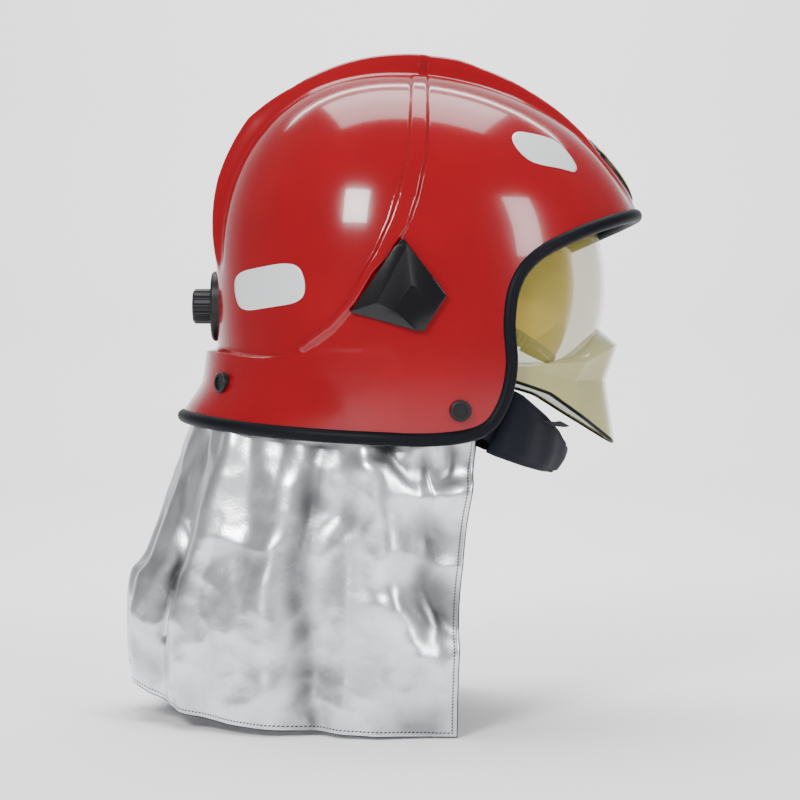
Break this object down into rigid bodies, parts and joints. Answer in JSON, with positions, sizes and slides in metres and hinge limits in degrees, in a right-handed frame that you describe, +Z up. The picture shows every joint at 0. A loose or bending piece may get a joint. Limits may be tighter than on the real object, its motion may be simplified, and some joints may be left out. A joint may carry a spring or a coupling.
{
  "type": "fire helmet",
  "caption": "Jet style fire helmet with crested shell, swing-up face and eye shields, ratchet headband, chin strap and aluminised neck curtain.",
  "frame": {"origin": "middle of the head opening, at the height of the headband", "axes": "+X the way the wearer faces, +Y the wearer's left, +Z up"},
  "size_m": [0.3645, 0.257, 0.4503],
  "materials": {
    "shell_red": "gloss",
    "edge_rubber": "matte",
    "black_plastic": "satin",
    "reflective_film": "satin",
    "badge_metal": "satin",
    "clear_gold": "gloss",
    "deep_gold": "gloss",
    "foam_liner": "matte",
    "pad_cloth": "matte",
    "webbing": "matte",
    "steel": "satin",
    "aluminised_cloth": "metallic"
  },
  "bodies": {
    "helmet": {"outer_shell": "shell_red", "edge_trim": "edge_rubber", "badge_plate": "badge_metal", "reflective_patch_front_left": "reflective_film", "reflective_patch_front_right": "reflective_film", "reflective_patch_rear_left": "reflective_film", "reflective_patch_rear_right": "reflective_film", "side_cover_left": "black_plastic", "side_cover_right": "black_plastic", "impact_liner": "foam_liner", "headband": "black_plastic", "brow_pad": "pad_cloth", "crown_cradle": "webbing", "crown_pad": "pad_cloth", "cheek_pad_left": "pad_cloth", "cheek_pad_right": "pad_cloth", "pivot_pin_left": "steel", "pivot_pin_right": "steel", "inner_spacer_left": "black_plastic", "inner_spacer_right": "black_plastic", "outer_spacer_left": "black_plastic", "outer_spacer_right": "black_plastic", "ratchet_back_plate": "black_plastic", "ratchet_housing": "black_plastic", "nape_pad": "pad_cloth", "side_screw_caps": "black_plastic", "rear_screw_caps": "black_plastic", "side_screws": "steel", "rear_screws": "steel", "neck_curtain": "aluminised_cloth", "curtain_band": "webbing"},
    "face_shield": {"face_shield": "clear_gold", "face_shield_hub_left": "black_plastic", "face_shield_hub_right": "black_plastic"},
    "eye_shield": {"eye_shield": "deep_gold", "nose_seal": "black_plastic", "eye_shield_hub_left": "black_plastic", "eye_shield_hub_right": "black_plastic"},
    "knob": {"ratchet_knob": "black_plastic", "ratchet_pinion": "black_plastic"},
    "rack_left": {"rack_tongue_left": "black_plastic"},
    "rack_right": {"rack_tongue_right": "black_plastic"},
    "chin_harness": {"chin_cup": "pad_cloth", "chin_strap_left": "webbing", "chin_strap_right": "webbing", "strap_lug_left": "steel", "strap_lug_right": "steel", "buckle_female": "black_plastic", "buckle_male": "black_plastic"},
    "prong_upper": {"buckle_prong_upper": "black_plastic"},
    "prong_lower": {"buckle_prong_lower": "black_plastic"}
  },
  "joints": [
    {"name": "face_shield_swing", "type": "hinge", "parent": "helmet", "child": "face_shield", "pos_m": [0.009, 0, -0.0106], "axis": [0, -1, 0], "range_deg": [0, 42]},
    {"name": "eye_shield_swing", "type": "hinge", "parent": "helmet", "child": "eye_shield", "pos_m": [0.009, 0, -0.0106], "axis": [0, -1, 0], "range_deg": [0, 58]},
    {"name": "knob_turn", "type": "hinge", "parent": "helmet", "child": "knob", "pos_m": [-0.14, 0, -0.025], "axis": [1, 0, 0], "range_deg": [-70, 70]},
    {"name": "rack_left_slide", "type": "slide", "parent": "helmet", "child": "rack_left", "axis": [0, 1, 0], "range_m": [-0.0075, 0.0075]},
    {"name": "rack_right_slide", "type": "slide", "parent": "helmet", "child": "rack_right", "axis": [0, 1, 0], "range_m": [-0.0075, 0.0075]},
    {"name": "chin_harness_swing", "type": "hinge", "parent": "helmet", "child": "chin_harness", "pos_m": [0.0313, 0, -0.0964], "axis": [0, -1, 0], "range_deg": [0, 12]},
    {"name": "prong_upper_press", "type": "slide", "parent": "chin_harness", "child": "prong_upper", "axis": [-0.4226, 0, -0.9063], "range_m": [0, 0.002], "stiffness_N_per_m": 500},
    {"name": "prong_lower_press", "type": "slide", "parent": "chin_harness", "child": "prong_lower", "axis": [0.4226, 0, 0.9063], "range_m": [0, 0.002], "stiffness_N_per_m": 500}
  ],
  "couplings": [
    {"joint": "rack_left_slide", "follows": "knob_turn", "m_per_rad": -0.006},
    {"joint": "rack_right_slide", "follows": "knob_turn", "m_per_rad": 0.006},
    {"joint": "prong_lower_press", "follows": "prong_upper_press", "ratio": 1}
  ]
}
